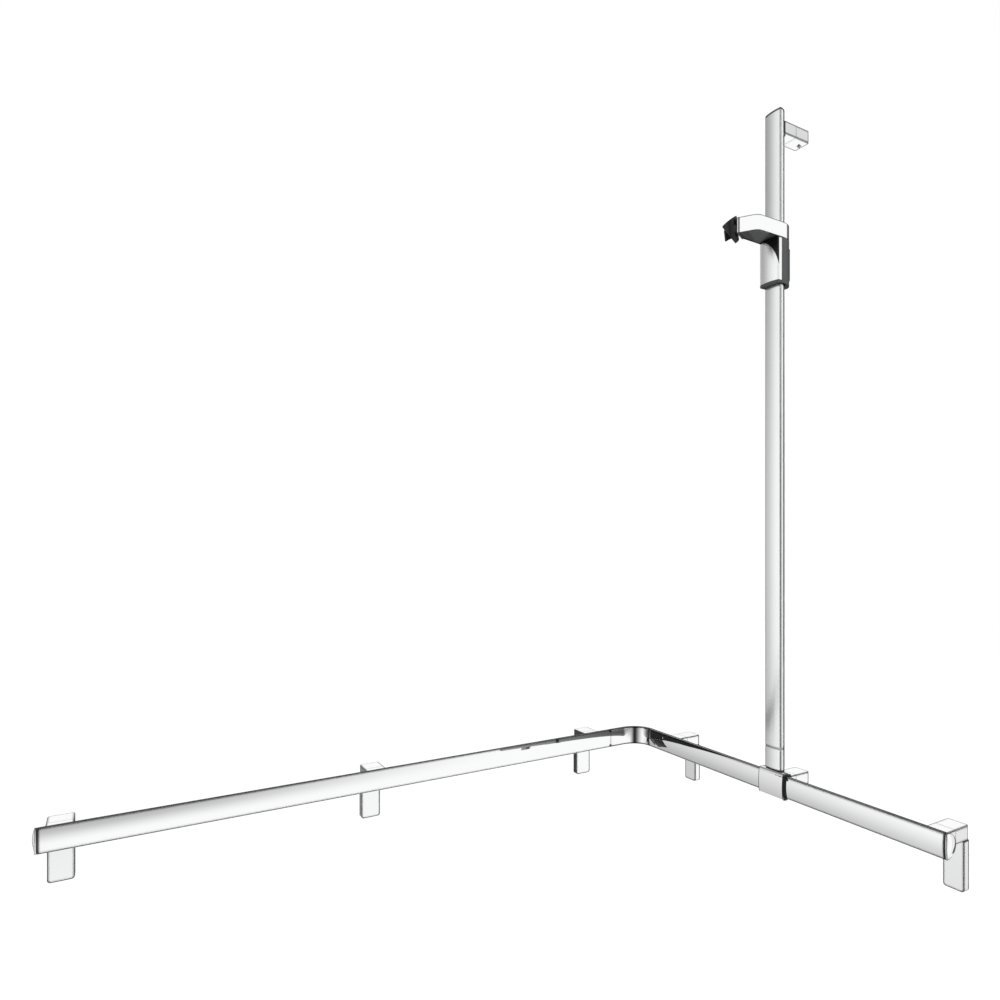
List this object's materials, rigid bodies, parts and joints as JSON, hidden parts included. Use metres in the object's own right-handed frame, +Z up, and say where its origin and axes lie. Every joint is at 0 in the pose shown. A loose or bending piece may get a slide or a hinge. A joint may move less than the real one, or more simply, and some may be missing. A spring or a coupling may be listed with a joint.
{
  "type": "shower slide rail",
  "caption": "Corner hand rail on wall brackets with an upright rail, along which a hand shower holder slides, is released by a lever and swivels its conical socket.",
  "frame": {"origin": "the wall face of the bracket that stands behind the upright, at the height of the hand rail's middle", "axes": "+X into the side wall, +Y along the side wall to the back wall, +Z up"},
  "size_m": [1.1927, 0.8747, 1.3467],
  "materials": {
    "chrome": "polished mirror chrome",
    "steel": "satin stainless steel",
    "alloy": "plain milled",
    "grey_plastic": "fine satin moulded plastic",
    "socket_plastic": "satin moulded plastic",
    "black_rubber": "matt moulded rubber",
    "glide_plastic": "smooth low-friction plastic"
  },
  "bodies": {
    "rail": {"bracket_arm_long_inner": "chrome", "bracket_arm_long_middle": "chrome", "bracket_arm_long_outer": "chrome", "bracket_arm_short_inner": "chrome", "bracket_arm_short_middle": "chrome", "bracket_arm_short_outer": "chrome", "bracket_cover_long_inner": "chrome", "bracket_cover_long_middle": "chrome", "bracket_cover_long_outer": "chrome", "bracket_cover_short_inner": "chrome", "bracket_cover_short_outer": "chrome", "bracket_plate_long_inner": "steel", "bracket_plate_long_middle": "steel", "bracket_plate_long_outer": "steel", "bracket_plate_short_inner": "steel", "bracket_plate_short_middle": "steel", "bracket_plate_short_outer": "steel", "corner_elbow": "chrome", "elbow_screws": "steel", "locking_screws": "steel", "long_end_cap": "chrome", "long_rail": "chrome", "rail_bolts": "steel", "rail_nuts": "steel", "short_end_cap": "chrome", "short_rail": "chrome", "splice_screws": "steel", "tee_bolt": "steel", "tee_gasket": "black_rubber", "tee_liner": "black_rubber", "tee_shell": "chrome", "top_bracket_arm": "chrome", "top_bracket_plate": "steel", "upright_base": "chrome", "upright_rail": "chrome", "upright_splice": "alloy", "upright_top_cap": "chrome"},
    "slider": {"swivel_bearing": "socket_plastic", "slider_carriage": "grey_plastic", "slider_front_shell": "chrome", "slider_arm": "chrome", "slider_arm_core": "grey_plastic", "upper_glide": "glide_plastic", "lower_glide": "glide_plastic", "lever_pin": "steel", "lever_spring": "steel", "swivel_ring": "chrome"},
    "lever": {"release_lever": "grey_plastic", "brake_shoe": "black_rubber"},
    "socket": {"handset_socket": "socket_plastic", "swivel_shaft": "steel", "swivel_washer": "steel", "swivel_nut": "steel"}
  },
  "joints": [
    {"name": "slider_slide", "type": "slide", "parent": "rail", "child": "slider", "axis": [0, 0, 1], "range_m": [-0.8575, 0.1685]},
    {"name": "lever_hinge", "type": "hinge", "parent": "slider", "child": "lever", "pos_m": [-0.05, 0, 0.9955], "axis": [0, -1, 0], "range_deg": [0, 12], "stiffness_Nm_per_rad": 0.5, "springref_deg": -5.73},
    {"name": "socket_swivel", "type": "hinge", "parent": "slider", "child": "socket", "pos_m": [-0.14433, 0.01486, 1.025], "axis": [-0.5, 0.866, 0], "range_deg": [-30, 30]}
  ]
}
